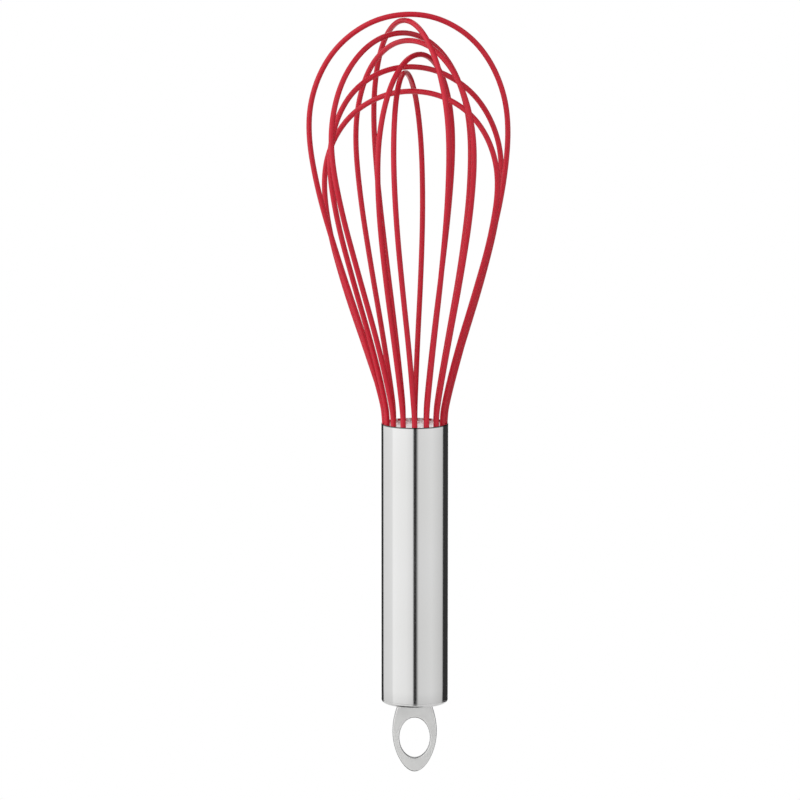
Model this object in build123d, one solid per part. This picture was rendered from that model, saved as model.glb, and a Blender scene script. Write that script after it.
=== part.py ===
from build123d import *

import os
from dataclasses import dataclass
from math import cos, pi, radians, sin, tan

# Balloon whisk, upright: the handle tube stands on the Z axis, the wire balloon is above it and
# the hang loop below. z = 0 is half-way up the handle tube. Millimetres.

# Handle tube: drawn stainless tube, open at both ends.
TUBE_DIAMETER = 22.2
TUBE_WALL = 0.4
TUBE_LENGTH = 92.8
MOUTH_ROUNDING = 0.15

# End cap: a flange that closes the tube, and a spigot pressed into it.
CAP_THICKNESS = 1.2
CAP_EDGE_RADIUS = 1.0
SPIGOT_LENGTH = 5.0
SPIGOT_WALL = 1.0

# Hang loop: a flat plate with an oval eye and a tang that passes through the cap.
LOOP_THICKNESS = 1.8
LOOP_LENGTH = 23.9
LOOP_HALF_WIDTH = 7.4
LOOP_WIDEST_BELOW_CAP = 10.0
LOOP_NECK_HALF_WIDTH = 5.2
LOOP_EDGE_RADIUS = 0.4
EYE_HALF_WIDTH = 5.1
EYE_HALF_HEIGHT = 6.8
EYE_BELOW_CAP = 12.3
TANG_WIDTH = 8.0
TANG_REACH = 5.0
WELD_LEG = 1.2
WELD_LENGTH = 7.0

# Wires: spring steel cores with a silicone coat, their ends set in a ring inside the mouth.
CORE_DIAMETER = 1.0
COAT_DIAMETER = 1.8
FOOT_RING_RADIUS = 9.7
BEND_ABOVE_RIM = 1.0
BEND_SHARE = 0.45

# Fluted holder, the seal above it and the potting below it.
SEAL_BELOW_RIM = 1.0
SEAL_THICKNESS = 2.0
HOLDER_LENGTH = 12.0
POTTING_LENGTH = 7.0
CORE_IN_POTTING = 5.0

TUBE_RADIUS = TUBE_DIAMETER / 2
BORE_RADIUS = TUBE_RADIUS - TUBE_WALL
RIM_Z = TUBE_LENGTH / 2
TUBE_FOOT_Z = -TUBE_LENGTH / 2
BUTT_Z = TUBE_FOOT_Z - CAP_THICKNESS
EYE_Z = BUTT_Z - EYE_BELOW_CAP
SEAL_TOP_Z = RIM_Z - SEAL_BELOW_RIM
HOLDER_TOP_Z = SEAL_TOP_Z - SEAL_THICKNESS
HOLDER_FOOT_Z = HOLDER_TOP_Z - HOLDER_LENGTH
POTTING_FOOT_Z = HOLDER_FOOT_Z - POTTING_LENGTH
CORE_END_Z = HOLDER_FOOT_Z - CORE_IN_POTTING

# The shape that every wire leg follows from the rim to the crown. Each pair is a share of the
# way out from the foot ring to the full half width, and a share of the height above the rim.
LEG_SHAPE = [(0.06, 0.065), (0.31, 0.22), (0.64, 0.40), (0.92, 0.58), (1.03, 0.74), (0.87, 0.855), (0.50, 0.945)]
# Half the flat of the crown, as a share of the half width.
CROWN_FLAT = 0.24
# Share of the height by which a leg has turned fully from its foot's direction to its loop's.
TWIST_REACH = 0.6


@dataclass(frozen=True)
class WireLoop:
    """One wire from foot to foot. Lengths in mm, angles in degrees.

    foot is the direction of the right leg's foot, twist what its belly adds to that, lean the
    sideways shift at the crown, bow the extra shift half-way up, and tilt what the right side
    of the crown rises and the left side drops.
    """

    foot: float
    height: float
    half_width: float
    twist: float
    lean: float
    bow: float
    tilt: float


# Hand-set loops, the tallest first, with feet every 22.5 degrees round the mouth.
WIRE_LOOPS = [
    WireLoop(foot=0.0, height=134.5, half_width=32.5, twist=1.0, lean=-4.0, bow=1.0, tilt=2.5),
    WireLoop(foot=-67.5, height=132.5, half_width=32.5, twist=-0.5, lean=-2.5, bow=0.5, tilt=-1.0),
    WireLoop(foot=45.0, height=128.0, half_width=33.0, twist=2.0, lean=-8.0, bow=2.0, tilt=4.5),
    WireLoop(foot=-45.0, height=126.0, half_width=32.0, twist=-8.0, lean=-1.0, bow=0.5, tilt=0.0),
    WireLoop(foot=67.5, height=121.5, half_width=33.0, twist=0.5, lean=1.0, bow=-0.5, tilt=-0.5),
    WireLoop(foot=22.5, height=117.5, half_width=31.0, twist=2.5, lean=-1.5, bow=2.0, tilt=-1.0),
    WireLoop(foot=90.0, height=115.5, half_width=33.0, twist=-8.0, lean=-3.5, bow=0.5, tilt=0.0),
    WireLoop(foot=-22.5, height=109.5, half_width=31.5, twist=-3.5, lean=0.0, bow=-2.0, tilt=0.0),
]


def leg_point(loop, side, reach, rise):
    """A point of a leg: reach is how far out it is in mm, and rise its share of the height."""
    left_to_turn = 1 - min(rise / TWIST_REACH, 1)
    heading = radians(loop.foot + loop.twist * (1 - left_to_turn**2))
    shift = loop.lean * rise + loop.bow * 4 * rise * (1 - rise)
    x = side * reach * cos(heading) + shift
    y = side * reach * sin(heading)
    z = RIM_Z + loop.height * rise + loop.tilt * side * reach / loop.half_width * rise**2
    return Vector(x, y, z)


def leg_points(loop, side, end_z):
    """The corners of one leg's route, from its end inside the handle to the crown."""
    foot = leg_point(loop, side, FOOT_RING_RADIUS, 0)
    points = [Vector(foot.X, foot.Y, end_z), foot + Vector(0, 0, BEND_ABOVE_RIM)]
    for outward, rise in LEG_SHAPE:
        reach = FOOT_RING_RADIUS + (loop.half_width - FOOT_RING_RADIUS) * outward
        points.append(leg_point(loop, side, reach, rise))
    points.append(leg_point(loop, side, CROWN_FLAT * loop.half_width, 1))
    return points


def wire_path(loop, end_z):
    """Straight runs joined by tangent arcs, up one leg, over the crown and down the other."""
    points = leg_points(loop, -1, end_z) + leg_points(loop, 1, end_z)[::-1]
    radii = []
    for before, corner, after in zip(points, points[1:], points[2:]):
        shorter = min((corner - before).length, (after - corner).length)
        turn = (corner - before).get_angle(after - corner)
        radii.append(BEND_SHARE * shorter / tan(radians(turn) / 2))
    return FilletPolyline(*points, radius=radii)


def swept_along(path, section):
    """A closed solid made by carrying a flat section along a wire's path."""
    return sweep(Plane(origin=path @ 0, z_dir=path % 0) * section, path=path)


def wire_core(loop):
    """The spring steel wire, from its end in the potting right round to the other end."""
    return swept_along(wire_path(loop, CORE_END_Z), Circle(CORE_DIAMETER / 2))


def wire_coat(loop):
    """The silicone coat: a tube that fits the core and ends at the foot of the holder."""
    ring = Circle(COAT_DIAMETER / 2) - Circle(CORE_DIAMETER / 2)
    return swept_along(wire_path(loop, HOLDER_FOOT_Z), ring)


def foot_places():
    """Where the sixteen wire feet stand, as directions round the mouth in degrees."""
    return [loop.foot + half_turn for loop in WIRE_LOOPS for half_turn in (0, 180)]


def disc(radius, low_z, high_z):
    """A solid cylinder on the handle's axis between two heights."""
    return Pos(0, 0, (low_z + high_z) / 2) * Cylinder(radius, high_z - low_z)


def handle_tube():
    """The straight tube, with its open mouth lightly rounded."""
    tube = disc(TUBE_RADIUS, TUBE_FOOT_Z, RIM_Z) - disc(BORE_RADIUS, TUBE_FOOT_Z, RIM_Z)
    mouth = tube.edges().group_by(Axis.Z)[-1]
    return fillet(mouth, MOUTH_ROUNDING)


def end_cap():
    """The flange with its rounded edge, the spigot inside the tube, and the tang's slot."""
    flange = disc(TUBE_RADIUS, BUTT_Z, TUBE_FOOT_Z)
    flange = fillet(flange.edges().group_by(Axis.Z)[0], CAP_EDGE_RADIUS)
    spigot_top = TUBE_FOOT_Z + SPIGOT_LENGTH
    spigot = disc(BORE_RADIUS, TUBE_FOOT_Z, spigot_top)
    spigot -= disc(BORE_RADIUS - SPIGOT_WALL, TUBE_FOOT_Z, spigot_top)
    slot = Pos(0, 0, (BUTT_Z + TUBE_FOOT_Z) / 2) * Box(TANG_WIDTH, LOOP_THICKNESS, CAP_THICKNESS)
    return flange + spigot - slot


def loop_outline():
    """The hang loop's egg-shaped outline below the cap, drawn with x across and y up."""
    widest = BUTT_Z - LOOP_WIDEST_BELOW_CAP
    tip = BUTT_Z - LOOP_LENGTH
    wide, neck = LOOP_HALF_WIDTH, LOOP_NECK_HALF_WIDTH
    cheek = Bezier((neck, BUTT_Z), (0.85 * wide, BUTT_Z - 2.6), (wide, widest + 3.8), (wide, widest))
    chin = Bezier((wide, widest), (wide, widest - 7.2), (0.49 * wide, tip), (0, tip))
    half = Curve() + [cheek, chin]
    shoulders = Line((-neck, BUTT_Z), (neck, BUTT_Z))
    return make_face(Curve() + [half, mirror(half, Plane.YZ), shoulders])


def hang_loop():
    """The plate with its oval eye and rounded edges, and the tang that goes up into the cap."""
    eye = Pos(0, EYE_Z) * Ellipse(EYE_HALF_WIDTH, EYE_HALF_HEIGHT)
    plate = extrude(Plane.XZ * (loop_outline() - eye), LOOP_THICKNESS / 2, both=True)
    rims = plate.edges().filter_by(lambda e: abs(abs(e.center().Y) - LOOP_THICKNESS / 2) < 0.01)
    rims = rims.filter_by(lambda e: e.center().Z < BUTT_Z - 0.1)
    plate = fillet(rims, LOOP_EDGE_RADIUS)
    tang_height = CAP_THICKNESS + TANG_REACH
    tang = Pos(0, 0, BUTT_Z + tang_height / 2) * Box(TANG_WIDTH, LOOP_THICKNESS, tang_height)
    return plate + tang


def loop_welds():
    """Two fillet welds that hold the tang to the inside of the cap, one along each face."""
    corner = Polyline((0, WELD_LEG), (0, 0), (WELD_LEG, 0))
    bulge = ThreePointArc((WELD_LEG, 0), (0.6 * WELD_LEG, 0.6 * WELD_LEG), (0, WELD_LEG))
    section = Plane.YZ * make_face(Curve() + [corner, bulge])
    bead = extrude(section, WELD_LENGTH / 2, both=True)
    bead = Pos(0, LOOP_THICKNESS / 2, TUBE_FOOT_Z) * bead
    return Compound([*bead.solids(), *mirror(bead, Plane.XZ).solids()])


def wire_holder():
    """The moulded core of the mouth: a cylinder with a flute for each wire foot."""
    holder = disc(BORE_RADIUS, HOLDER_FOOT_Z, HOLDER_TOP_Z)
    middle = (HOLDER_FOOT_Z + HOLDER_TOP_Z) / 2
    flute = Pos(FOOT_RING_RADIUS, 0, middle) * Cylinder(COAT_DIAMETER / 2, HOLDER_LENGTH)
    open_side = Box(COAT_DIAMETER, COAT_DIAMETER, HOLDER_LENGTH)
    flute += Pos(FOOT_RING_RADIUS + COAT_DIAMETER / 2, 0, middle) * open_side
    for heading in foot_places():
        holder -= Rot(0, 0, heading) * flute
    return holder


def potting():
    """Cast resin below the holder that locks the bare ends of the cores."""
    resin = disc(BORE_RADIUS, POTTING_FOOT_Z, HOLDER_FOOT_Z)
    middle = (CORE_END_Z + HOLDER_FOOT_Z) / 2
    hole = Pos(FOOT_RING_RADIUS, 0, middle) * Cylinder(CORE_DIAMETER / 2, CORE_IN_POTTING)
    for heading in foot_places():
        resin -= Rot(0, 0, heading) * hole
    return resin


def mouth_seal():
    """The pale sealing layer that fills the mouth round the wires, just below the rim."""
    seal = disc(BORE_RADIUS, HOLDER_TOP_Z, SEAL_TOP_Z)
    for loop in WIRE_LOOPS:
        seal -= swept_along(wire_path(loop, HOLDER_FOOT_Z), Circle(COAT_DIAMETER / 2))
    return seal


def all_nodes():
    """Every piece of the whisk by name."""
    nodes = {
        "handle_tube": handle_tube(),
        "end_cap": end_cap(),
        "hang_loop": hang_loop(),
        "loop_welds": loop_welds(),
        "wire_holder": wire_holder(),
        "potting": potting(),
        "mouth_seal": mouth_seal(),
    }
    for number, loop in enumerate(WIRE_LOOPS, start=1):
        nodes[f"wire_core_{number}"] = wire_core(loop)
        nodes[f"wire_coat_{number}"] = wire_coat(loop)
    return nodes


def check_wire_volumes(nodes):
    """Compare each core's volume with its section times its length."""
    for number, loop in enumerate(WIRE_LOOPS, start=1):
        length = wire_path(loop, CORE_END_Z).length
        expected = pi * CORE_DIAMETER**2 / 4 * length
        ratio = nodes[f"wire_core_{number}"].volume / expected
        print(f"wire {number}: {length:.1f} mm long, volume ratio {ratio:.4f}")


os.makedirs("parts", exist_ok=True)
whisk = all_nodes()
check_wire_volumes(whisk)
for name, piece in whisk.items():
    export_step(piece, f"parts/{name}.step")
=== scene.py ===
import logging
import math
from dataclasses import dataclass, field
from enum import Enum
from typing import Iterable, Sequence

import bmesh
import bpy
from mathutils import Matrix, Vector, noise


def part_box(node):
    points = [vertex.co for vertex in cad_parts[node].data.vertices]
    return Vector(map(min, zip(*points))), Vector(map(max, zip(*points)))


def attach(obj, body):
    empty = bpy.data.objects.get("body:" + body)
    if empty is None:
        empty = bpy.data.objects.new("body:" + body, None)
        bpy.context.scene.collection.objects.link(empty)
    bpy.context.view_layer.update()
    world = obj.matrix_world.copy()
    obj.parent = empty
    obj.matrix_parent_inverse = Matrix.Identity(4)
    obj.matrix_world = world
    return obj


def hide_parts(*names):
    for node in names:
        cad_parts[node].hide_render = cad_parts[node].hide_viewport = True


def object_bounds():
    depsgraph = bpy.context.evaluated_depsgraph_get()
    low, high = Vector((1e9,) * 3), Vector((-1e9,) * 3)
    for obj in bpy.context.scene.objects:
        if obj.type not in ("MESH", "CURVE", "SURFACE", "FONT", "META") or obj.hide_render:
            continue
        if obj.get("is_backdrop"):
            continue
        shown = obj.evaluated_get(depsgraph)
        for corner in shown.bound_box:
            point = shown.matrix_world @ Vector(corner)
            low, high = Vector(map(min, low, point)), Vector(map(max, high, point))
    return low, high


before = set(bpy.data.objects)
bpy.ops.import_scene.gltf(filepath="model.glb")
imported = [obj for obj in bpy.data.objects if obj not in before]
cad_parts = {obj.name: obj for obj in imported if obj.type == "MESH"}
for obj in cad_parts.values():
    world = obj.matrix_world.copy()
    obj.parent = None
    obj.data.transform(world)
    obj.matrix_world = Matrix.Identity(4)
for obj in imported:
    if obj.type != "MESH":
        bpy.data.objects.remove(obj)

log = logging.getLogger("whisk")

MM = 0.001
BODY = "root"
MERGE_DISTANCE = 1e-7
# The band at the tube's mouth that is painted dark, as painted shade and a painted dark reflection of the
# lip: how far down and how far in it goes.
PAINTED_RIM_SHADE_BAND = 0.45 * MM
PAINTED_RIM_SHADE_SKIN = 0.12 * MM

Colour = tuple[float, float, float, float]
Point = tuple[float, float, float]
Profile = list[tuple[float, float]]


class Slot(Enum):
    """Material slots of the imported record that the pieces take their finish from."""

    HANDLE = "handle_steel"
    CAP = "cap_steel"
    LOOP = "loop_steel"
    WELD = "weld_metal"
    HOLDER = "holder_plastic"
    POTTING = "potting_resin"
    SEAL = "seal_compound"
    SPRING = "spring_steel"
    COAT = "red_silicone"


class LineDirection(Enum):
    """Which way a polished surface's fine lines run, as the stretch of their noise on X, Y and Z."""

    ROUND_THE_TUBE = (0.02, 0.02, 1.0)
    ALONG_THE_PLATE = (0.12, 1.0, 1.0)
    EVEN = (1.0, 1.0, 1.0)


# ---------------------------------------------------------------- node helpers


class NodeBench:
    """A node tree with short calls for adding and joining nodes."""

    def __init__(self, tree: bpy.types.NodeTree) -> None:
        """Keep the tree.

        Args:
            tree: the node tree to add to.
        """
        self.tree = tree

    def add(self, kind: str, **values: object) -> bpy.types.Node:
        """Add one node.

        Args:
            kind: the node's type name.
            values: node properties, and input values under in_ and the socket's number.

        Returns:
            The new node.
        """
        node = self.tree.nodes.new(kind)
        for name, value in values.items():
            if name.startswith("in_"):
                node.inputs[int(name[3:])].default_value = value
            else:
                setattr(node, name, value)
        return node

    def join(self, source: bpy.types.NodeSocket, target: bpy.types.NodeSocket) -> None:
        """Link an output socket to an input socket."""
        self.tree.links.new(source, target)

    def feed(self, value: object, target: bpy.types.NodeSocket) -> None:
        """Link an output socket to an input socket, or write a plain value into it."""
        if isinstance(value, bpy.types.NodeSocket):
            self.join(value, target)
        else:
            target.default_value = value

    def maths(self, operation: str, first: object, second: object = None) -> bpy.types.NodeSocket:
        """Add a Math node.

        Args:
            operation: the node's operation.
            first: a socket or a number.
            second: a socket or a number, if the operation takes two.

        Returns:
            The node's output socket.
        """
        node = self.add("ShaderNodeMath", operation=operation)
        for place, value in enumerate((first, second)):
            if value is not None:
                self.feed(value, node.inputs[place])
        return node.outputs[0]

    def mix(self, kind: str, share: object, first: object, second: object) -> bpy.types.NodeSocket:
        """Add a Mix node.

        Args:
            kind: "FLOAT" or "RGBA".
            share: how much of the second there is, as a socket or a number.
            first: what comes out at a share of 0, as a socket or a value.
            second: what comes out at a share of 1, as a socket or a value.

        Returns:
            The node's output socket.
        """
        node = self.add("ShaderNodeMix", data_type=kind)
        for title, value in (("Factor", share), ("A", first), ("B", second)):
            self.feed(value, node.inputs[title])
        return node.outputs["Result"]

    def spread(
        self, value: bpy.types.NodeSocket, low: float, high: float, least: float = 0.0, smooth: bool = False
    ) -> bpy.types.NodeSocket:
        """Add a Map Range node that stretches a value and holds it beyond both ends.

        Args:
            value: the value to stretch.
            low: where it starts.
            high: where it ends, and 1 comes out.
            least: what comes out at the start.
            smooth: whether the way between is eased.

        Returns:
            The node's output socket.
        """
        node = self.add("ShaderNodeMapRange", interpolation_type="SMOOTHSTEP" if smooth else "LINEAR")
        for title, number in (("From Min", low), ("From Max", high), ("To Min", least)):
            node.inputs[title].default_value = number
        self.join(value, node.inputs["Value"])
        return node.outputs["Result"]

    def rays(self) -> tuple[bpy.types.NodeSocket, bpy.types.NodeSocket]:
        """Add a Light Path node.

        Returns:
            Whether a ray is the camera's, and whether it is mirrored or transmitted.
        """
        seen = self.add("ShaderNodeLightPath").outputs
        mirrored = self.maths("MAXIMUM", seen["Is Glossy Ray"], seen["Is Transmission Ray"])
        return seen["Is Camera Ray"], mirrored


def new_group(name: str, inputs: dict[str, float], outputs: dict[str, str]) -> NodeBench:
    """Make an empty shader node group with its sockets and its two end nodes.

    Args:
        name: the group's name.
        inputs: the name and default of each number that goes in, and "Vector" for a vector.
        outputs: the name and socket type of what comes out.

    Returns:
        A bench on the group's tree, with nodes named "in" and "out".
    """
    tree = bpy.data.node_groups.new(name, "ShaderNodeTree")
    for title, default in inputs.items():
        kind = "NodeSocketVector" if title == "Vector" else "NodeSocketFloat"
        socket = tree.interface.new_socket(title, in_out="INPUT", socket_type=kind)
        if kind == "NodeSocketFloat":
            socket.default_value = default
    for title, kind in outputs.items():
        tree.interface.new_socket(title, in_out="OUTPUT", socket_type=kind)
    bench = NodeBench(tree)
    bench.add("NodeGroupInput", name="in")
    bench.add("NodeGroupOutput", name="out")
    return bench


# ---------------------------------------------------------------- shared effects


class SurfaceEffects:
    """Shader node groups that several finishes share.

    SECOND_LINES is how much finer the second set of polishing lines is.
    """

    SECOND_LINES = 3.7

    def __init__(self) -> None:
        """Build both groups once."""
        self.polish_lines = self._polish_lines()
        self.handling = self._handling()

    @staticmethod
    def _put_out(group: NodeBench, value: bpy.types.NodeSocket, mean: float, title: str) -> None:
        """Swing a value about a half, by the group's Contrast, and put it out.

        Args:
            group: the group's bench.
            value: the value.
            mean: the value's own mean.
            title: the output's name.
        """
        ends = group.tree.nodes
        swung = group.maths("MULTIPLY", group.maths("SUBTRACT", value, mean), ends["in"].outputs["Contrast"])
        group.join(group.maths("ADD", swung, 0.5), ends["out"].inputs[title])

    def _polish_lines(self) -> bpy.types.NodeTree:
        """Fine lines left by polishing: two noises, stretched along the lines by the Vector's scale."""
        group = new_group(
            "polish_lines",
            {"Vector": 0.0, "Fineness": 900.0, "Contrast": 1.0},
            {"Lines": "NodeSocketFloat"},
        )
        given = group.tree.nodes["in"].outputs
        noises = []
        for finer, detail in ((1.0, 3.0), (self.SECOND_LINES, 2.0)):
            lines = group.add("ShaderNodeTexNoise", in_3=detail)
            group.join(given["Vector"], lines.inputs["Vector"])
            group.join(group.maths("MULTIPLY", given["Fineness"], finer), lines.inputs["Scale"])
            noises.append(lines.outputs["Fac"])
        self._put_out(group, group.maths("ADD", *noises), 1.0, "Lines")
        return group.tree

    def _handling(self) -> bpy.types.NodeTree:
        """Slow, cloudy unevenness such as wiping and moulding leave, about a half."""
        group = new_group(
            "handling",
            {"Vector": 0.0, "Cloud Size": 60.0, "Contrast": 1.0},
            {"Clouds": "NodeSocketFloat"},
        )
        given = group.tree.nodes["in"].outputs
        clouds = group.add("ShaderNodeTexNoise", in_3=4.0)
        group.join(given["Vector"], clouds.inputs["Vector"])
        group.join(given["Cloud Size"], clouds.inputs["Scale"])
        self._put_out(group, clouds.outputs["Fac"], 0.5, "Clouds")
        return group.tree


@dataclass(frozen=True)
class Finish:
    """What every finish has: a name, a base colour, a second colour to drift to, and roughness."""

    name: str
    colour: Colour
    second_colour: Colour
    roughness: float
    roughness_swing: float
    metallic: float = 0.0
    cloud_size: float = 60.0
    cloud_contrast: float = 1.6

    def start(self, effects: SurfaceEffects) -> tuple[bpy.types.Material, NodeBench, bpy.types.Node]:
        """Make the material, its cloudy colour and its roughness.

        Args:
            effects: the shared node groups.

        Returns:
            The material, a bench on its tree and its Principled node.
        """
        material = bpy.data.materials.new(self.name)
        material.use_nodes = True
        material.diffuse_color = self.colour
        bench = NodeBench(material.node_tree)
        shader = material.node_tree.nodes["Principled BSDF"]
        shader.inputs["Metallic"].default_value = self.metallic
        place = bench.add("ShaderNodeTexCoord", name="place")
        clouds = bench.add("ShaderNodeGroup", node_tree=effects.handling)
        clouds.inputs["Cloud Size"].default_value = self.cloud_size
        clouds.inputs["Contrast"].default_value = self.cloud_contrast
        bench.join(place.outputs["Object"], clouds.inputs["Vector"])
        drift = bench.mix("RGBA", clouds.outputs["Clouds"], self.colour, self.second_colour)
        bench.join(drift, shader.inputs["Base Color"])
        swing = bench.maths("MULTIPLY", clouds.outputs["Clouds"], self.roughness_swing)
        rough = bench.maths("ADD", swing, self.roughness - self.roughness_swing / 2)
        bench.join(rough, shader.inputs["Roughness"])
        return material, bench, shader

    @staticmethod
    def raise_lines(
        bench: NodeBench,
        shader: bpy.types.Node,
        lines: bpy.types.NodeTree,
        place: bpy.types.NodeSocket,
        relief: tuple[float, float, float],
    ) -> None:
        """Give the surface a relief of fine lines.

        Args:
            bench: the bench on the material's tree.
            shader: its Principled node.
            lines: the shared group that makes the lines.
            place: the coordinates that the lines are read at.
            relief: the lines' fineness, and the strength and depth of the bump.
        """
        fineness, strength, depth = relief
        pattern = bench.add("ShaderNodeGroup", node_tree=lines)
        pattern.inputs["Fineness"].default_value = fineness
        bench.join(place, pattern.inputs["Vector"])
        bump = bench.add("ShaderNodeBump")
        bump.inputs["Strength"].default_value = strength
        bump.inputs["Distance"].default_value = depth
        bench.join(pattern.outputs["Lines"], bump.inputs["Height"])
        bench.join(bump.outputs["Normal"], shader.inputs["Normal"])


@dataclass(frozen=True)
class PolishedSteel(Finish):
    """Stainless steel with the fine lines that its polishing left.

    edge_roughness, where set, is the roughness of all that faces away from front and back,
    and edge_facing is how squarely a face looks along Y where edge ends and flat begins.
    painted_shade_above, where set, is the height over which the rim is painted dark, as painted shade and a
    painted dark reflection of the lip, from the distance painted_shade_outside from the axis outwards, and
    painted_shade_fade is how soon it gets dark.
    """

    metallic: float = 1.0
    edge_roughness: float | None = None
    edge_colour: Colour = (0.40, 0.40, 0.40, 1.0)
    edge_facing: tuple[float, float] = (0.80, 0.995)
    painted_shade_above: float | None = None
    painted_shade_outside: float = 0.0
    painted_shade_fade: float = 0.15 * MM
    painted_shade_colour: Colour = (0.10, 0.10, 0.10, 1.0)
    lines: LineDirection = LineDirection.ROUND_THE_TUBE
    line_fineness: float = 5000.0
    line_height: float = 0.02
    line_depth: float = 1.0e-6

    def material(self, effects: SurfaceEffects) -> bpy.types.Material:
        """Build the material.

        Args:
            effects: the shared node groups.

        Returns:
            The finished material.
        """
        material, bench, shader = self.start(effects)
        place = material.node_tree.nodes["place"]
        stretch = bench.add("ShaderNodeMapping")
        stretch.inputs["Scale"].default_value = self.lines.value
        bench.join(place.outputs["Object"], stretch.inputs["Vector"])
        relief = (self.line_fineness, self.line_height, self.line_depth)
        self.raise_lines(bench, shader, effects.polish_lines, stretch.outputs["Vector"], relief)
        if self.edge_roughness is not None:
            self._polish_edges(bench, place, shader)
        if self.painted_shade_above is not None:
            self._paint_rim_shade(bench, place, shader)
        return material

    def _polish_edges(self, bench: NodeBench, place: bpy.types.Node, shader: bpy.types.Node) -> None:
        """Give the rounded edges their own roughness and colour, by how far they turn from Y."""
        facing = bench.add("ShaderNodeSeparateXYZ")
        bench.join(place.outputs["Normal"], facing.inputs["Vector"])
        flat = bench.spread(bench.maths("ABSOLUTE", facing.outputs["Y"]), *self.edge_facing)
        for kind, title, value in (
            ("FLOAT", "Roughness", self.edge_roughness),
            ("RGBA", "Base Color", self.edge_colour),
        ):
            target = shader.inputs[title]
            bench.join(bench.mix(kind, flat, value, target.links[0].from_socket), target)

    def _paint_rim_shade(self, bench: NodeBench, place: bpy.types.Node, shader: bpy.types.Node) -> None:
        """Paint the outside of the rim above a height dark, as painted shade and a painted dark reflection of
        the lip.
        """
        parts = bench.add("ShaderNodeSeparateXYZ")
        bench.join(place.outputs["Object"], parts.inputs["Vector"])
        above = bench.spread(parts.outputs["Z"], self.painted_shade_above, self.painted_shade_above + self.painted_shade_fade)
        squares = [bench.maths("POWER", parts.outputs[axis], 2.0) for axis in ("X", "Y")]
        out = bench.maths("SQRT", bench.maths("ADD", *squares))
        # Painted shade and painted dark reflection: the rim's outer skin goes dark here.
        painted_shade_mask = bench.maths("MULTIPLY", above, bench.maths("GREATER_THAN", out, self.painted_shade_outside))
        target = shader.inputs["Base Color"]
        bench.join(bench.mix("RGBA", painted_shade_mask, target.links[0].from_socket, self.painted_shade_colour), target)


@dataclass(frozen=True)
class Rubbery(Finish):
    """Moulded or dipped material with a faintly uneven skin: silicone, sealant, plastic, resin."""

    grain_size: float = 1500.0
    grain_height: float = 0.1
    grain_depth: float = 2.0e-5
    specular: float = 0.5

    def material(self, effects: SurfaceEffects) -> bpy.types.Material:
        """Build the material.

        Args:
            effects: the shared node groups.

        Returns:
            The finished material.
        """
        material, bench, shader = self.start(effects)
        shader.inputs["Specular IOR Level"].default_value = self.specular
        place = material.node_tree.nodes["place"].outputs["Object"]
        relief = (self.grain_size, self.grain_height, self.grain_depth)
        self.raise_lines(bench, shader, effects.polish_lines, place, relief)
        return material


class FinishLibrary:
    """Every material of the whisk, built once and looked up by record slot."""

    def __init__(self) -> None:
        """Build all the finishes."""
        effects = SurfaceEffects()
        finishes: dict[Slot, PolishedSteel | Rubbery] = {
            Slot.HANDLE: PolishedSteel(
                "satin_handle_steel", (0.70, 0.70, 0.69, 1.0), (0.73, 0.73, 0.73, 1.0),
                roughness=0.10, roughness_swing=0.04, cloud_size=45.0,
                # The rim's outer skin gets a painted dark band, standing in for shade and a dark reflection
                # of the lip.
                painted_shade_above=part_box("handle_tube")[1][2] - PAINTED_RIM_SHADE_BAND,
                painted_shade_outside=node_radius("handle_tube") - PAINTED_RIM_SHADE_SKIN,
            ),
            Slot.CAP: PolishedSteel(
                "polished_cap_steel", (0.68, 0.68, 0.67, 1.0), (0.71, 0.71, 0.71, 1.0),
                roughness=0.12, roughness_swing=0.05, cloud_size=90.0,
            ),
            Slot.LOOP: PolishedSteel(
                "tumbled_loop_steel", (0.88, 0.88, 0.87, 1.0), (0.92, 0.92, 0.91, 1.0),
                roughness=0.40, roughness_swing=0.08, cloud_size=140.0,
                lines=LineDirection.ALONG_THE_PLATE, line_height=0.05, edge_roughness=0.20,
            ),
            Slot.WELD: PolishedSteel(
                "weld_metal", (0.42, 0.40, 0.37, 1.0), (0.30, 0.27, 0.25, 1.0),
                roughness=0.45, roughness_swing=0.2, cloud_size=900.0,
                lines=LineDirection.EVEN, line_height=0.3,
            ),
            Slot.SPRING: PolishedSteel(
                "drawn_spring_steel", (0.52, 0.52, 0.52, 1.0), (0.60, 0.60, 0.60, 1.0),
                roughness=0.25, roughness_swing=0.1, cloud_size=200.0,
                lines=LineDirection.EVEN, line_height=0.02,
            ),
            Slot.COAT: Rubbery(
                "crimson_silicone", (0.60, 0.010, 0.030, 1.0), (0.67, 0.014, 0.038, 1.0),
                roughness=0.30, roughness_swing=0.08, cloud_size=160.0,
                grain_size=1600.0, grain_height=0.12, specular=0.35,
            ),
            Slot.SEAL: Rubbery(
                "poured_mouth_seal", (0.93, 0.91, 0.90, 1.0), (0.96, 0.94, 0.93, 1.0),
                roughness=0.16, roughness_swing=0.08, cloud_size=250.0, grain_height=0.05,
            ),
            Slot.HOLDER: Rubbery(
                "moulded_holder", (0.72, 0.72, 0.69, 1.0), (0.76, 0.76, 0.73, 1.0),
                roughness=0.5, roughness_swing=0.1, grain_height=0.3,
            ),
            Slot.POTTING: Rubbery(
                "cast_potting_resin", (0.62, 0.56, 0.43, 1.0), (0.70, 0.63, 0.48, 1.0),
                roughness=0.18, roughness_swing=0.08, grain_height=0.05,
            ),
        }
        self.materials = {key: finish.material(effects) for key, finish in finishes.items()}

    def __getitem__(self, key: Slot) -> bpy.types.Material:
        """The material of a slot."""
        return self.materials[key]


# ---------------------------------------------------------------- mesh helpers


def object_from(name: str, mesh: bpy.types.Mesh) -> bpy.types.Object:
    """Put a mesh into the scene as an object at the origin."""
    piece = bpy.data.objects.new(name, mesh)
    bpy.context.scene.collection.objects.link(piece)
    return piece


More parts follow.
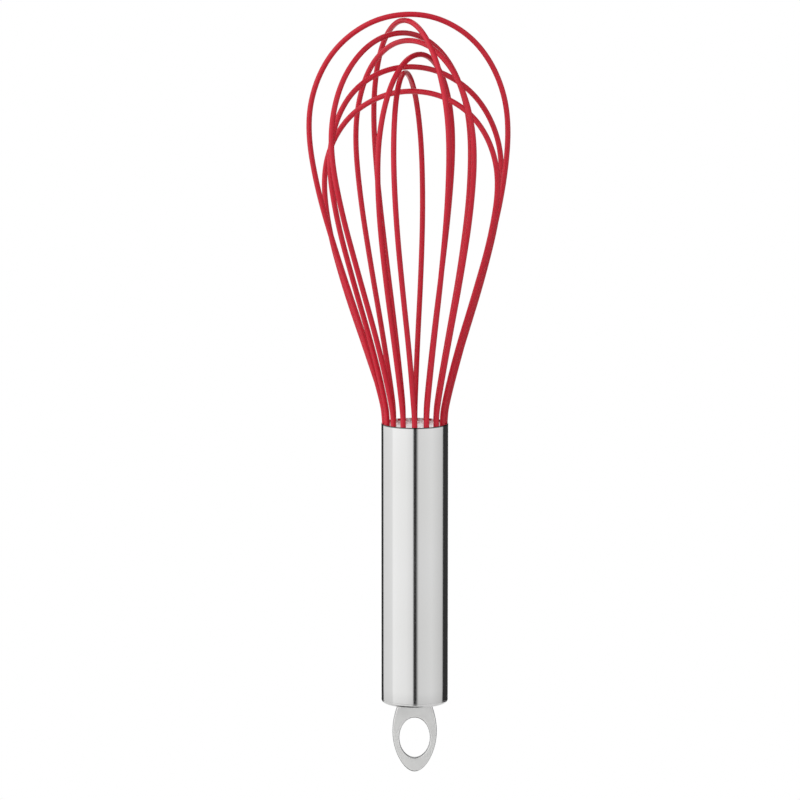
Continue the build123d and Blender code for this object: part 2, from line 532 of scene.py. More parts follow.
def object_of_grid(
    name: str, rows: Sequence[Sequence[Point]], closed_rows: bool, caps: bool
) -> bpy.types.Object:
    """Make a smooth mesh from rows of points that run round the piece.

    Args:
        name: the object's name.
        rows: rings of points, each with the same number, in order along the section.
        closed_rows: whether the last ring joins the first.
        caps: whether the first and last rings are filled with a fan to their middle.

    Returns:
        The object, with its normals pointing outwards.
    """
    around = len(rows[0])
    points = [point for row in rows for point in row]
    faces = []
    count = len(rows)
    for row in range(count if closed_rows else count - 1):
        after = (row + 1) % count
        for step in range(around):
            beside = (step + 1) % around
            near, far = row * around, after * around
            faces.append((near + step, near + beside, far + beside, far + step))
    if caps:
        for row in (0, count - 1):
            ring = range(row * around, (row + 1) * around)
            middle = sum((Vector(points[place]) for place in ring), Vector()) / around
            points.append(tuple(middle))
            hub = len(points) - 1
            faces += [(ring[step], ring[(step + 1) % around], hub) for step in range(around)]
    mesh = bpy.data.meshes.new(name)
    mesh.from_pydata(points, [], faces)
    tidy_mesh(mesh)
    return object_from(name, mesh)


def tidy_mesh(mesh: bpy.types.Mesh) -> None:
    """Merge doubled points, turn the faces outwards and shade them smooth."""
    work = bmesh.new()
    work.from_mesh(mesh)
    bmesh.ops.remove_doubles(work, verts=work.verts, dist=MERGE_DISTANCE)
    bmesh.ops.recalc_face_normals(work, faces=work.faces)
    work.to_mesh(mesh)
    work.free()
    mesh.shade_smooth()
    mesh.update()


def arc(centre: tuple[float, float], radius: float, start: float, end: float, steps: int) -> Profile:
    """Points along an arc of a section, ends included.

    Args:
        centre: the arc's centre, as distance from the axis and height.
        radius: its radius.
        start: the angle where it starts, in degrees from outwards, upwards positive.
        end: the angle where it ends.
        steps: how many straight steps it takes.

    Returns:
        The points.
    """
    angles = (math.radians(start + (end - start) * step / steps) for step in range(steps + 1))
    return [(centre[0] + radius * math.cos(a), centre[1] + radius * math.sin(a)) for a in angles]


def lathe(name: str, section: Profile, steps: int, closed: bool) -> bpy.types.Object:
    """Turn a section about the handle's axis.

    Args:
        name: the object's name.
        section: distances from the axis and heights, in order.
        steps: how many steps go round.
        closed: whether the section closes on itself, or else ends in two flat caps.

    Returns:
        The turned piece.
    """
    headings = [2 * math.pi * step / steps for step in range(steps)]
    rows = [[(r * math.cos(h), r * math.sin(h), z) for h in headings] for r, z in section]
    return object_of_grid(name, rows, closed_rows=closed, caps=not closed)


def dress(piece: bpy.types.Object, finishes: FinishLibrary, slot: Slot, nodes: Iterable[str]) -> None:
    """Give a finished piece the material of its slot and its body, and hide the frame nodes that it stands
    for.

    Args:
        piece: the piece.
        finishes: the whisk's materials.
        slot: the record slot of its finish.
        nodes: the frame nodes that it replaces.
    """
    piece.data.materials.clear()
    piece.data.materials.append(finishes[slot])
    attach(piece, BODY)
    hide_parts(*nodes)
    log.info("%s: %d faces", piece.name, len(piece.data.polygons))


# ---------------------------------------------------------------- handle


def node_radius(node: str) -> float:
    """Half the width of a round node."""
    low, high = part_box(node)
    return (high[0] - low[0]) / 2


@dataclass
class Handle:
    """The tube with its rounded mouth, and the cap pressed into its foot. Sizes in metres.

    face_rings are the shares of the radius at which the cap's flat faces have a ring of points,
    and the steps are how many the tube and the rounded edges are made in.
    """

    wall: float = 0.4 * MM
    mouth_rounding: float = 0.15 * MM
    seam_rounding: float = 0.1 * MM
    cap_edge: float = 1.0 * MM
    spigot_wall: float = 1.0 * MM
    face_rings: tuple[float, float] = (0.3, 0.7)
    steps_round: int = 256
    tube_steps: int = 24
    seam_steps: int = 6
    mouth_steps: int = 8
    cap_edge_steps: int = 16
    tube_low: float = field(init=False)
    tube_high: float = field(init=False)
    radius: float = field(init=False)
    cap_low: float = field(init=False)
    cap_high: float = field(init=False)

    def __post_init__(self) -> None:
        """Take the places from the frame."""
        low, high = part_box("handle_tube")
        self.tube_low, self.tube_high = low[2], high[2]
        self.radius = node_radius("handle_tube")
        low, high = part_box("end_cap")
        self.cap_low, self.cap_high = low[2], high[2]

    def tube_section(self) -> Profile:
        """The wall of the tube, up the outside and down the bore."""
        outer, inner = self.radius, self.radius - self.wall
        mouth, seam = self.mouth_rounding, self.seam_rounding
        section = arc((outer - seam, self.tube_low + seam), seam, -90, 0, self.seam_steps)
        rise = (self.tube_high - self.tube_low - mouth - seam) / self.tube_steps
        section += [(outer, self.tube_low + seam + rise * step) for step in range(1, self.tube_steps)]
        section += arc((outer - mouth, self.tube_high - mouth), mouth, 0, 90, self.mouth_steps)
        section += arc((inner + mouth, self.tube_high - mouth), mouth, 90, 180, self.mouth_steps)
        return section + [(inner, self.tube_low)]

    def cap_section(self) -> Profile:
        """The cap from the middle of its butt face, round its edge and up its spigot."""
        bore = self.radius - self.wall
        edge, seam = self.cap_edge, self.seam_rounding
        section = [(ring * self.radius, self.cap_low) for ring in self.face_rings]
        section += arc((self.radius - edge, self.cap_low + edge), edge, -90, 0, self.cap_edge_steps)
        section += arc((self.radius - seam, self.tube_low - seam), seam, 0, 90, self.seam_steps)
        section += [(bore, self.tube_low), (bore, self.cap_high)]
        section += [(bore - self.spigot_wall, self.cap_high), (bore - self.spigot_wall, self.tube_low)]
        return section + [(self.face_rings[0] * self.radius, self.tube_low)]

    def build(self, finishes: FinishLibrary) -> None:
        """Build and dress the tube and the cap.

        Args:
            finishes: the whisk's materials.
        """
        tube = lathe("handle_tube_shell", self.tube_section(), self.steps_round, closed=True)
        dress(tube, finishes, Slot.HANDLE, ["handle_tube"])
        cap = lathe("end_cap_shell", self.cap_section(), self.steps_round, closed=False)
        dress(cap, finishes, Slot.CAP, ["end_cap"])


# ---------------------------------------------------------------- hang loop


@dataclass
class HangLoop:
    """The flat plate with an oval eye, rounded along all its edges. Sizes in metres.

    The pulls place the control points of each side's two curves. neck_pull is how far out, as a
    share of the half width, and how far below the neck the first one stands. cheek_pull and
    chin_pull are how far above and below the widest place the next two stand, and tip_pull is
    how far out the one beside the tip stands, as a share of the half width.
    """

    half_width: float = 7.4 * MM
    neck_half_width: float = 5.2 * MM
    widest_below_cap: float = 10.0 * MM
    eye_half_width: float = 5.1 * MM
    eye_half_height: float = 6.8 * MM
    eye_below_cap: float = 12.3 * MM
    edge_rounding: float = 0.45 * MM
    tang_half_width: float = 4.0 * MM
    tang_rounding: float = 0.2 * MM
    neck_pull: tuple[float, float] = (0.85, 2.6 * MM)
    cheek_pull: float = 3.8 * MM
    chin_pull: float = 7.2 * MM
    tip_pull: float = 0.49
    steps_round: int = 240
    edge_steps: int = 7
    face_steps: int = 8
    side_steps: int = 160
    neck_steps: int = 20
    butt: float = field(init=False)
    tip: float = field(init=False)
    top: float = field(init=False)
    half_thick: float = field(init=False)

    def __post_init__(self) -> None:
        """Take the places from the frame."""
        low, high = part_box("hang_loop")
        self.tip, self.top = low[2], high[2]
        self.half_thick = (high[1] - low[1]) / 2
        self.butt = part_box("end_cap")[0][2]

    @staticmethod
    def bezier(points: Sequence[tuple[float, float]], share: float) -> tuple[float, float]:
        """A point of a cubic curve from its four control points."""
        weights = ((1 - share) ** 3, 3 * share * (1 - share) ** 2, 3 * share**2 * (1 - share), share**3)
        return tuple(sum(w * p[axis] for w, p in zip(weights, points)) for axis in (0, 1))

    def right_side(self) -> list[tuple[float, float]]:
        """The right half of the outline, from the middle of the neck to the tip."""
        wide, widest = self.half_width, self.butt - self.widest_below_cap
        neck_out, neck_drop = self.neck_pull
        cheek = (
            (self.neck_half_width, self.butt),
            (neck_out * wide, self.butt - neck_drop),
            (wide, widest + self.cheek_pull),
            (wide, widest),
        )
        chin = (
            (wide, widest),
            (wide, widest - self.chin_pull),
            (self.tip_pull * wide, self.tip),
            (0.0, self.tip),
        )
        neck = [(self.neck_half_width * step / self.neck_steps, self.butt) for step in range(self.neck_steps)]
        shares = [step / self.side_steps for step in range(self.side_steps + 1)]
        upper = [self.bezier(cheek, share) for share in shares[:-1]]
        return neck + upper + [self.bezier(chin, share) for share in shares]

    def headings(self) -> list[float]:
        """The directions from the eye's centre in which both outlines have a point, 0 being up."""
        return [2 * math.pi * step / self.steps_round for step in range(self.steps_round)]

    def outline(self) -> list[tuple[float, float]]:
        """The whole outline, clockwise from the middle of the neck."""
        right = self.right_side()
        height = self.butt - self.eye_below_cap
        found = []
        for heading in self.headings():
            mirrored = heading > math.pi
            x, z = self.where_seen(right, height, 2 * math.pi - heading if mirrored else heading)
            found.append((-x if mirrored else x, z))
        return found

    @staticmethod
    def where_seen(line: Sequence[tuple[float, float]], height: float, seek: float) -> tuple[float, float]:
        """Where a line of points is crossed by a direction from the eye's centre, 0 being up."""
        angles = [math.atan2(x, z - height) for x, z in line]
        for (a, p), (b, q) in zip(zip(angles, line), zip(angles[1:], line[1:])):
            if a <= seek <= b:
                share = (seek - a) / (b - a) if b > a else 0.0
                return (p[0] + (q[0] - p[0]) * share, p[1] + (q[1] - p[1]) * share)
        return line[-1]

    def eye(self) -> list[tuple[float, float]]:
        """The eye's outline, a point for each point of the plate's outline."""
        height = self.butt - self.eye_below_cap
        found = []
        for heading in self.headings():
            x, z = math.sin(heading), math.cos(heading)
            reach = 1 / math.hypot(x / self.eye_half_width, z / self.eye_half_height)
            found.append((reach * x, height + reach * z))
        return found

    @staticmethod
    def drawn_in(line: Sequence[tuple[float, float]], inset: float) -> list[tuple[float, float]]:
        """A closed line moved sideways by an inset, to its right for a clockwise line."""
        count = len(line)
        moved = []
        for step, (x, z) in enumerate(line):
            (x0, z0), (x1, z1) = line[step - 1], line[(step + 1) % count]
            length = math.hypot(x1 - x0, z1 - z0)
            moved.append((x + (z1 - z0) / length * inset, z - (x1 - x0) / length * inset))
        return moved

    def rings(self) -> list[list[Point]]:
        """Rings of points that go round the plate's section: outer edge, front, eye, back."""
        outer, eye = self.outline(), self.eye()
        r, half = self.edge_rounding, self.half_thick
        rows: list[list[Point]] = []

        def edge(line: Sequence[tuple[float, float]], sign: int, front: int, ups: Iterable[float]) -> None:
            """Add the rings of one rounded edge, sign +1 on the outer line and -1 on the eye."""
            for up in ups:
                angle = math.radians(up)
                inset = sign * r * (1 - math.cos(angle))
                depth = front * (half - r + r * math.sin(angle))
                rows.append([(x, depth, z) for x, z in self.drawn_in(line, inset)])

        rising = [90 * step / self.edge_steps for step in range(self.edge_steps + 1)]
        outer_in, eye_in = self.drawn_in(outer, r), self.drawn_in(eye, -r)

        def face(front: int, shares: Iterable[float]) -> None:
            """Add the rings across one flat face, from the outer edge's share 0 to the eye's 1."""
            for share in shares:
                rows.append([
                    (a[0] + (b[0] - a[0]) * share, front * half, a[1] + (b[1] - a[1]) * share)
                    for a, b in zip(outer_in, eye_in)
                ])

        across = [step / self.face_steps for step in range(1, self.face_steps)]
        edge(outer, 1, -1, rising)
        face(-1, across)
        edge(eye, -1, -1, reversed(rising))
        edge(eye, -1, 1, rising)
        face(1, reversed(across))
        edge(outer, 1, 1, reversed(rising))
        return rows

    def build(self, finishes: FinishLibrary) -> None:
        """Build and dress the plate with its tang.

        Args:
            finishes: the whisk's materials.
        """
        plate = object_of_grid("hang_loop_plate", self.rings(), closed_rows=True, caps=False)
        work = bmesh.new()
        work.from_mesh(plate.data)
        box = bmesh.ops.create_cube(work, size=1.0)["verts"]
        height = self.top - self.butt
        size = Vector((2 * self.tang_half_width, 2 * self.half_thick, height))
        for corner in box:
            corner.co = Vector(c * s for c, s in zip(corner.co, size))
            corner.co.z += self.butt + height / 2
        edges = {edge for corner in box for edge in corner.link_edges}
        bmesh.ops.bevel(
            work, geom=list(edges), offset=self.tang_rounding, segments=3, affect="EDGES", profile=0.5
        )
        work.to_mesh(plate.data)
        work.free()
        plate.data.shade_smooth()
        dress(plate, finishes, Slot.LOOP, ["hang_loop"])


# ---------------------------------------------------------------- wires


@dataclass(frozen=True)
class WireLoop:
    """One wire from foot to foot. Lengths in mm and angles in degrees.

    foot is the direction of the right leg's foot, twist what its belly adds to that, lean the
    sideways shift at the crown, bow the extra shift half-way up, and tilt what the right side
    of the crown rises and the left side drops.
    """

    foot: float
    height: float
    half_width: float
    twist: float
    lean: float
    bow: float
    tilt: float


WIRE_LOOPS = (
    WireLoop(foot=0.0, height=134.5, half_width=32.5, twist=1.0, lean=-4.0, bow=1.0, tilt=2.5),
    WireLoop(foot=-67.5, height=132.5, half_width=32.5, twist=-0.5, lean=-2.5, bow=0.5, tilt=-1.0),
    WireLoop(foot=45.0, height=128.0, half_width=33.0, twist=2.0, lean=-8.0, bow=2.0, tilt=4.5),
    WireLoop(foot=-45.0, height=126.0, half_width=32.0, twist=-8.0, lean=-1.0, bow=0.5, tilt=0.0),
    WireLoop(foot=67.5, height=121.5, half_width=33.0, twist=0.5, lean=1.0, bow=-0.5, tilt=-0.5),
    WireLoop(foot=22.5, height=117.5, half_width=31.0, twist=2.5, lean=-1.5, bow=2.0, tilt=-1.0),
    WireLoop(foot=90.0, height=115.5, half_width=33.0, twist=-8.0, lean=-3.5, bow=0.5, tilt=0.0),
    WireLoop(foot=-22.5, height=109.5, half_width=31.5, twist=-3.5, lean=0.0, bow=-2.0, tilt=0.0),
)


@dataclass
class WireBalloon:
    """Eight coated wires that nest into a balloon. Sizes in metres.

    leg_shape pairs a share of the way out from the foot ring to the half width with a share
    of the height above the rim, and every leg follows it.
    """

    foot_ring: float = 9.7 * MM
    core_diameter: float = 1.0 * MM
    coat_diameter: float = 1.8 * MM
    bend_above_rim: float = 1.0 * MM
    crown_flat: float = 0.24
    twist_reach: float = 0.6
    leg_shape: tuple[tuple[float, float], ...] = (
        (0.06, 0.065), (0.31, 0.22), (0.64, 0.40), (0.92, 0.58),
        (1.03, 0.74), (0.87, 0.855), (0.50, 0.945),
    )
    rim: float = field(init=False)

    def __post_init__(self) -> None:
        """Take the rim's height from the frame."""
        self.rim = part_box("handle_tube")[1][2]

    def leg_point(self, loop: WireLoop, side: int, reach: float, rise: float) -> Vector:
        """A control point of a leg.

        Args:
            loop: the wire.
            side: -1 for the left leg and 1 for the right one.
            reach: how far out from the axis it is.
            rise: its share of the wire's height.

        Returns:
            The point.
        """
        left_to_turn = 1 - min(rise / self.twist_reach, 1)
        heading = math.radians(loop.foot + loop.twist * (1 - left_to_turn**2))
        shift = (loop.lean * rise + loop.bow * 4 * rise * (1 - rise)) * MM
        lift = loop.tilt * side * reach / loop.half_width * rise**2
        x = side * reach * math.cos(heading) + shift
        return Vector((x, side * reach * math.sin(heading), self.rim + loop.height * MM * rise + lift))

    def route(self, loop: WireLoop, low: float) -> list[Vector]:
        """The control points of a whole wire, from one end up over the crown to the other.

        Args:
            loop: the wire.
            low: the height of both ends.

        Returns:
            The points.
        """
        half_width = loop.half_width * MM
        legs = []
        for side in (-1, 1):
            foot = self.leg_point(loop, side, self.foot_ring, 0.0)
            points = [Vector((foot.x, foot.y, low)), foot + Vector((0, 0, self.bend_above_rim))]
            for outward, rise in self.leg_shape:
                reach = self.foot_ring + (half_width - self.foot_ring) * outward
                points.append(self.leg_point(loop, side, reach, rise))
            points.append(self.leg_point(loop, side, self.crown_flat * half_width, 1.0))
            legs.append(points)
        return legs[0] + legs[1][::-1]

    def centre_line(self, name: str, loop: WireLoop, low: float) -> bpy.types.Object:
        """A smooth curve object along a wire's route.

        Args:
            name: the object's name.
            loop: the wire.
            low: the height of both ends.

        Returns:
            The curve object.
        """
        points = self.route(loop, low)
        curve = bpy.data.curves.new(name, "CURVE")
        curve.dimensions = "3D"
        spline = curve.splines.new("NURBS")
        spline.points.add(len(points) - 1)
        for place, point in zip(spline.points, points):
            place.co = (*point, 1.0)
        spline.order_u = 3
        spline.use_endpoint_u = True
        spline.resolution_u = 24
        line = bpy.data.objects.new(name, curve)
        bpy.context.scene.collection.objects.link(line)
        return line

    def build(self, finishes: FinishLibrary) -> None:
        """Build and dress the cores and the coats.

        Args:
            finishes: the whisk's materials.
        """
        drawing = WireDrawing()
        for number, loop in enumerate(WIRE_LOOPS, start=1):
            for kind, slot, diameter, steps, sides, unevenness in (
                ("core", Slot.SPRING, self.core_diameter, 260, 12, 0.0),
                ("coat", Slot.COAT, self.coat_diameter, 460, 28, 0.012),
            ):
                node = f"wire_{kind}_{number}"
                line = self.centre_line(f"{kind}_line_{number}", loop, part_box(node)[0][2])
                name = f"wire_{kind}_round_{number}"
                piece = drawing.draw(line, name, diameter, steps, sides, unevenness, number, finishes[slot])
                dress(piece, finishes, slot, [node])


class WireDrawing:
    """A Geometry Nodes tree that draws a round wire along a curve, and its use.

    WANDER_FINENESS is the scale of the noise that the radius wanders by, and WANDER_MIDDLE the
    value of that noise at which the wire has its nominal size.
    """

    WANDER_FINENESS = 180.0
    WANDER_MIDDLE = 0.7
    INPUTS = (
        ("Diameter", "NodeSocketFloat"),
        ("Steps", "NodeSocketInt"),
        ("Sides", "NodeSocketInt"),
        ("Unevenness", "NodeSocketFloat"),
        ("Seed", "NodeSocketFloat"),
        ("Finish", "NodeSocketMaterial"),
    )

    def __init__(self) -> None:
        """Build the tree."""
        self.tree = bpy.data.node_groups.new("draw_wire", "GeometryNodeTree")
        face = self.tree.interface
        self.sockets = {"Curve": face.new_socket("Curve", in_out="INPUT", socket_type="NodeSocketGeometry")}
        for title, kind in self.INPUTS:
            self.sockets[title] = face.new_socket(title, in_out="INPUT", socket_type=kind)
        face.new_socket("Wire", in_out="OUTPUT", socket_type="NodeSocketGeometry")
        self._wire_up(NodeBench(self.tree))

    def _wire_up(self, bench: NodeBench) -> None:
        """Place and join the nodes: even steps, a slowly varying radius, a round section."""
        given = bench.add("NodeGroupInput").outputs
        result = bench.add("NodeGroupOutput")
        even = bench.add("GeometryNodeResampleCurve", mode="COUNT")
        bench.join(given["Curve"], even.inputs["Curve"])
        bench.join(given["Steps"], even.inputs["Count"])
        place = bench.add("GeometryNodeInputPosition")
        texture = bench.add("ShaderNodeTexNoise", noise_dimensions="4D")
        texture.inputs["Scale"].default_value = self.WANDER_FINENESS
        bench.join(place.outputs[0], texture.inputs["Vector"])
        bench.join(given["Seed"], texture.inputs["W"])
        centred = bench.maths("SUBTRACT", texture.outputs["Fac"], self.WANDER_MIDDLE)
        swing = bench.maths("MULTIPLY", centred, given["Unevenness"])
        scale = bench.maths("ADD", swing, 1.0)
        section = bench.add("GeometryNodeCurvePrimitiveCircle", mode="RADIUS")
        bench.join(given["Sides"], section.inputs["Resolution"])
        half = bench.maths("MULTIPLY", given["Diameter"], 0.5)
        bench.join(half, section.inputs["Radius"])
        tube = bench.add("GeometryNodeCurveToMesh")
        bench.join(even.outputs["Curve"], tube.inputs["Curve"])
        bench.join(section.outputs["Curve"], tube.inputs["Profile Curve"])
        bench.join(scale, tube.inputs["Scale"])
        tube.inputs["Fill Caps"].default_value = True
        realized = bench.add("GeometryNodeRealizeInstances")
        bench.join(tube.outputs["Mesh"], realized.inputs["Geometry"])
        finish = bench.add("GeometryNodeSetMaterial")
        bench.join(realized.outputs["Geometry"], finish.inputs["Geometry"])
        bench.join(given["Finish"], finish.inputs["Material"])
        bench.join(finish.outputs["Geometry"], result.inputs["Wire"])

    def draw(
        self,
        line: bpy.types.Object,
        name: str,
        diameter: float,
        steps: int,
        sides: int,
        unevenness: float,
        seed: int,
        finish: bpy.types.Material,
    ) -> bpy.types.Object:
        """Draw one wire along a centre line, which is used up.

        Args:
            line: the curve object to follow.
            name: the finished object's name.
            diameter: the wire's diameter.
            steps: how many points the wire has along it.
            sides: how many sides its section has.
            unevenness: how far its radius wanders, as a share of it.
            seed: a fixed number that makes each wire wander its own way.
            finish: the wire's material.

        Returns:
            The wire as a plain mesh object.
        """
        modifier = line.modifiers.new("draw", "NODES")
        modifier.node_group = self.tree
        values = {
            "Diameter": diameter, "Steps": steps, "Sides": sides,
            "Unevenness": unevenness, "Seed": float(seed), "Finish": finish,
        }
        for title, value in values.items():
            modifier[self.sockets[title].identifier] = value
        graph = bpy.context.evaluated_depsgraph_get()
        mesh = bpy.data.meshes.new_from_object(line.evaluated_get(graph))
        line.modifiers.remove(modifier)
        curve = line.data
        bpy.data.objects.remove(line)
        bpy.data.curves.remove(curve)
        mesh.name = name
        tidy_mesh(mesh)
        return object_from(name, mesh)


# ---------------------------------------------------------------- mouth


@dataclass
class MouthSeal:
    """The sealing layer in the mouth: flat, but drawn up round each wire and at the wall.

    base_ring is the share of the radius at which its underside has a ring of points.
    """

    meniscus: float = 0.35 * MM
    meniscus_reach: float = 0.32 * MM
    ripple: float = 0.05 * MM
    ripple_fineness: float = 300.0
    base_ring: float = 0.5
    steps_round: int = 320
    steps_out: int = 54

    def build(self, finishes: FinishLibrary, balloon: WireBalloon) -> None:
        """Build and dress the seal.

        Args:
            finishes: the whisk's materials.
            balloon: the wires, whose feet the seal meets.
        """
        low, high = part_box("mouth_seal")
        radius = node_radius("mouth_seal")
        feet = [
            Vector((math.cos(math.radians(turn)), math.sin(math.radians(turn)))) * balloon.foot_ring
            for turn in (loop.foot + half for loop in WIRE_LOOPS for half in (0, 180))
        ]
        coat = balloon.coat_diameter / 2
        rows = []
        for ring in range(1, self.steps_out + 1):
            out = radius * ring / self.steps_out
            row = []
            for step in range(self.steps_round):
                turn = 2 * math.pi * step / self.steps_round
                place = Vector((math.cos(turn), math.sin(turn))) * out
                gap = min(max(min((place - foot).length for foot in feet) - coat, 0.0), radius - out)
                lift = self.meniscus * math.exp(-gap / self.meniscus_reach)
                spot = Vector((place.x, place.y, 0.0)) * self.ripple_fineness
                lift += self.ripple * (noise.noise(spot) - 1.0)
                row.append((place.x, place.y, high[2] + lift))
            rows.append(row)
        rows.append([(x, y, low[2]) for x, y, _ in rows[-1]])
        rows.append([(x * self.base_ring, y * self.base_ring, low[2]) for x, y, _ in rows[-1]])
        seal = object_of_grid("mouth_seal_surface", rows, closed_rows=False, caps=True)
        dress(seal, finishes, Slot.SEAL, ["mouth_seal"])


# ---------------------------------------------------------------- hidden frame pieces


def dress_hidden_pieces(finishes: FinishLibrary) -> None:
    """Give the pieces inside the handle, which keep their frame meshes, their finishes."""
    for node, slot in (("wire_holder", Slot.HOLDER), ("potting", Slot.POTTING), ("loop_welds", Slot.WELD)):
        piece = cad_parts[node]
        piece.data.materials.clear()
        piece.data.materials.append(finishes[slot])
        log.info("%s: frame mesh, %s", node, slot.value)


# ---------------------------------------------------------------- studio


@dataclass
class Studio:
    """Pale floor, surroundings, black card and camera.

    The camera sees plain white. Mirrored and transmitted rays see walls by their direction:
    long softboxes left and right with a dark gap between them at the front, dark flags behind
    them, a white backdrop and a dim ceiling. Matt surfaces are lit apart from that, by an even
    fill and a broad soft key. walls pairs directions in degrees, 0 being the front, with
    levels, and the low values say how far down the walls dim and to what share.
    """

    drop: float = 150 * MM
    floor_radius: float = 0.45
    floor_steps: int = 128
    floor_colour: Colour = (0.80, 0.80, 0.80, 1.0)
    floor_glow: float = 0.20
    walls: tuple[tuple[float, float], ...] = (
        (-180.0, 1.0), (-167.0, 1.0), (-165.0, 0.03), (-139.0, 0.03), (-136.0, 0.90), (-85.0, 1.00),
        (-80.0, 1.20), (-30.0, 1.12), (-7.0, 0.98), (-3.0, 0.03), (4.5, 0.03), (13.0, 0.90),
        (60.0, 0.97), (100.0, 0.80), (111.0, 0.70), (115.0, 0.04), (165.0, 0.04), (167.0, 1.0), (180.0, 1.0),
    )
    ceiling_from: float = 50.0
    ceiling_to: float = 68.0
    ceiling_level: float = 0.30
    low_from: float = -8.5
    low_to: float = -25.0
    low_share: float = 0.72
    fill_level: float = 0.48
    key_level: float = 1.10
    key_from: Point = (-0.75, -0.50, 0.43)
    card_radius: float = 100 * MM
    card_steps: int = 96
    card_place: tuple[float, float] = (-45 * MM, -30 * MM)
    card_above_floor: float = 1 * MM
    card_colour: Colour = (0.02, 0.02, 0.02, 1.0)
    card_roughness: float = 0.8
    distance: float = 1.4
    elevation: float = 8.6
    aim: Point = (-4.88 * MM, 0.0, 54.0 * MM)
    frame_width: float = 264 * MM
    sensor: float = 36.0
    farthest_seen: float = 20.0

    def light_surroundings(self) -> None:
        """Build the world: white to the camera, walls to mirrored rays, and a soft light to the rest."""
        world = bpy.data.worlds.new("studio")
        bpy.context.scene.world = world
        world.use_nodes = True
        world.node_tree.nodes.clear()
        bench = NodeBench(world.node_tree)
        direction = bench.add("ShaderNodeTexCoord").outputs["Generated"]
        camera, mirrored = bench.rays()
        lit = bench.mix("FLOAT", mirrored, self._soft_light(bench, direction), self._walls(bench, direction))
        light = bench.add("ShaderNodeBackground")
        light.inputs["Color"].default_value = (1.0, 1.0, 1.0, 1.0)
        bench.join(bench.mix("FLOAT", camera, lit, 1.0), light.inputs["Strength"])
        result = bench.add("ShaderNodeOutputWorld")
        bench.join(light.outputs["Background"], result.inputs["Surface"])

    def _walls(self, bench: NodeBench, direction: bpy.types.NodeSocket) -> bpy.types.NodeSocket:
        """Add the walls and the ceiling, by direction.

        Args:
            bench: the bench on the world's tree.
            direction: the direction that is looked in.

        Returns:
            Their level there.
        """
        parts = bench.add("ShaderNodeSeparateXYZ")
        bench.join(direction, parts.inputs["Vector"])
        turn = bench.maths("ARCTAN2", parts.outputs["X"], bench.maths("MULTIPLY", parts.outputs["Y"], -1.0))
        walls = bench.add("ShaderNodeValToRGB")
        self._paint_walls(walls.color_ramp)
        share = bench.maths("ADD", bench.maths("DIVIDE", turn, 2 * math.pi), 0.5)
        bench.join(share, walls.inputs["Fac"])
        rise = bench.maths("ARCSINE", parts.outputs["Z"])
        low, high = math.radians(self.low_to), math.radians(self.low_from)
        dim = bench.spread(rise, low, high, self.low_share)
        dimmed = bench.maths("MULTIPLY", walls.outputs["Color"], dim)
        low, high = math.radians(self.ceiling_from), math.radians(self.ceiling_to)
        return bench.mix("FLOAT", bench.spread(rise, low, high, smooth=True), dimmed, self.ceiling_level)

    def _soft_light(self, bench: NodeBench, direction: bpy.types.NodeSocket) -> bpy.types.NodeSocket:
        """Add the fill and the soft key.

        Args:
            bench: the bench on the world's tree.
            direction: the direction that is looked in.

        Returns:
            Their level there.
        """
        towards = bench.add("ShaderNodeVectorMath", operation="DOT_PRODUCT")
        bench.join(direction, towards.inputs[0])
        towards.inputs[1].default_value = self.key_from
        lobe = bench.maths("POWER", bench.maths("MAXIMUM", towards.outputs["Value"], 0.0), 2.0)
        return bench.maths("ADD", bench.maths("MULTIPLY", lobe, self.key_level), self.fill_level)

    def _paint_walls(self, ramp: bpy.types.ColorRamp) -> None:
        """Set the ramp's stops, two of which it already has, from the walls' directions and levels."""
        for number, (turn, level) in enumerate(self.walls):
            position = turn / 360.0 + 0.5
            stop = ramp.elements[number] if number < 2 else ramp.elements.new(position)
            stop.position = position
            stop.color = (level, level, level, 1.0)

    @staticmethod
    def _disc(
        name: str, material: bpy.types.Material, radius: float, steps: int, centre: Point
    ) -> bpy.types.Object:
        """Make a flat disc.

        Args:
            name: the disc's name.
            material: its material.
            radius: its radius.
            steps: how many sides it has.
            centre: where its middle is.

        Returns:
            The disc.
        """
        mesh = bpy.data.meshes.new(name)
        work = bmesh.new()
        bmesh.ops.create_circle(work, cap_ends=True, segments=steps, radius=radius)
        for vertex in work.verts:
            vertex.co += Vector(centre)
        work.to_mesh(mesh)
        work.free()
        mesh.materials.append(material)
        return object_from(name, mesh)

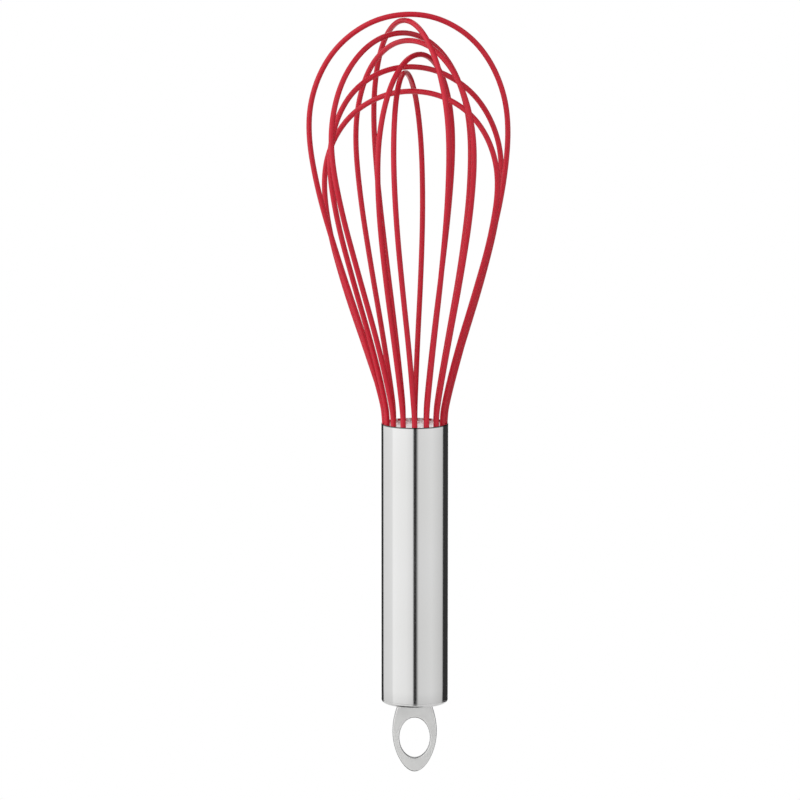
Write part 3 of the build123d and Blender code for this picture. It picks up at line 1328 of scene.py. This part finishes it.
    def lay_floor(self) -> None:
        """Lay a round pale floor below the whisk, with a faint glow to direct and mirrored looks."""
        material = bpy.data.materials.new("floor_white")
        material.use_nodes = True
        material.node_tree.nodes.clear()
        bench = NodeBench(material.node_tree)
        matt = bench.add("ShaderNodeBsdfDiffuse")
        matt.inputs["Color"].default_value = self.floor_colour
        glow = bench.add("ShaderNodeEmission")
        direct = bench.maths("MAXIMUM", *bench.rays())
        bench.join(bench.maths("MULTIPLY", direct, self.floor_glow), glow.inputs["Strength"])
        both = bench.add("ShaderNodeAddShader")
        bench.join(matt.outputs["BSDF"], both.inputs[0])
        bench.join(glow.outputs["Emission"], both.inputs[1])
        result = bench.add("ShaderNodeOutputMaterial")
        bench.join(both.outputs["Shader"], result.inputs["Surface"])
        centre = (0.0, 0.0, self.floor_height())
        floor = self._disc("floor", material, self.floor_radius, self.floor_steps, centre)
        floor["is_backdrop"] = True

    def lay_card(self) -> None:
        """Lay a black card under the whisk, seen only in polished edges that face down."""
        material = bpy.data.materials.new("card_black")
        material.use_nodes = True
        shader = material.node_tree.nodes["Principled BSDF"]
        shader.inputs["Base Color"].default_value = self.card_colour
        shader.inputs["Roughness"].default_value = self.card_roughness
        centre = (*self.card_place, self.floor_height() + self.card_above_floor)
        card = self._disc("black_card", material, self.card_radius, self.card_steps, centre)
        card.visible_camera = False
        card.visible_diffuse = False
        card.visible_transmission = False
        card.visible_shadow = False
        card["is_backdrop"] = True

    def floor_height(self) -> float:
        """How high the floor is."""
        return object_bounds()[0][2] - self.drop

    def set_camera(self) -> None:
        """Place the camera in front, a little above, aimed at the throat of the balloon."""
        camera = bpy.data.cameras.new("camera")
        camera.sensor_width = self.sensor
        camera.lens = self.sensor * self.distance / self.frame_width
        camera.clip_end = self.farthest_seen
        eye = bpy.data.objects.new("camera", camera)
        up = math.radians(self.elevation)
        back = Vector((0.0, -math.cos(up), math.sin(up))) * self.distance
        eye.location = Vector(self.aim) + back
        eye.rotation_euler = (-back).to_track_quat("-Z", "Y").to_euler()
        bpy.context.scene.collection.objects.link(eye)
        bpy.context.scene.camera = eye
        bpy.context.scene.view_settings.view_transform = "Standard"

    def build(self) -> None:
        """Set up the camera, the surroundings, the floor and the card."""
        self.set_camera()
        self.light_surroundings()
        self.lay_floor()
        self.lay_card()


# ---------------------------------------------------------------- making


def main() -> None:
    logging.basicConfig(level=logging.INFO, format="%(name)s: %(message)s")
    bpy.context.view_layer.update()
    Studio().build()
    finishes = FinishLibrary()
    balloon = WireBalloon()
    balloon.build(finishes)
    MouthSeal().build(finishes, balloon)
    Handle().build(finishes)
    HangLoop().build(finishes)
    dress_hidden_pieces(finishes)


if __name__ == "__main__":
    main()
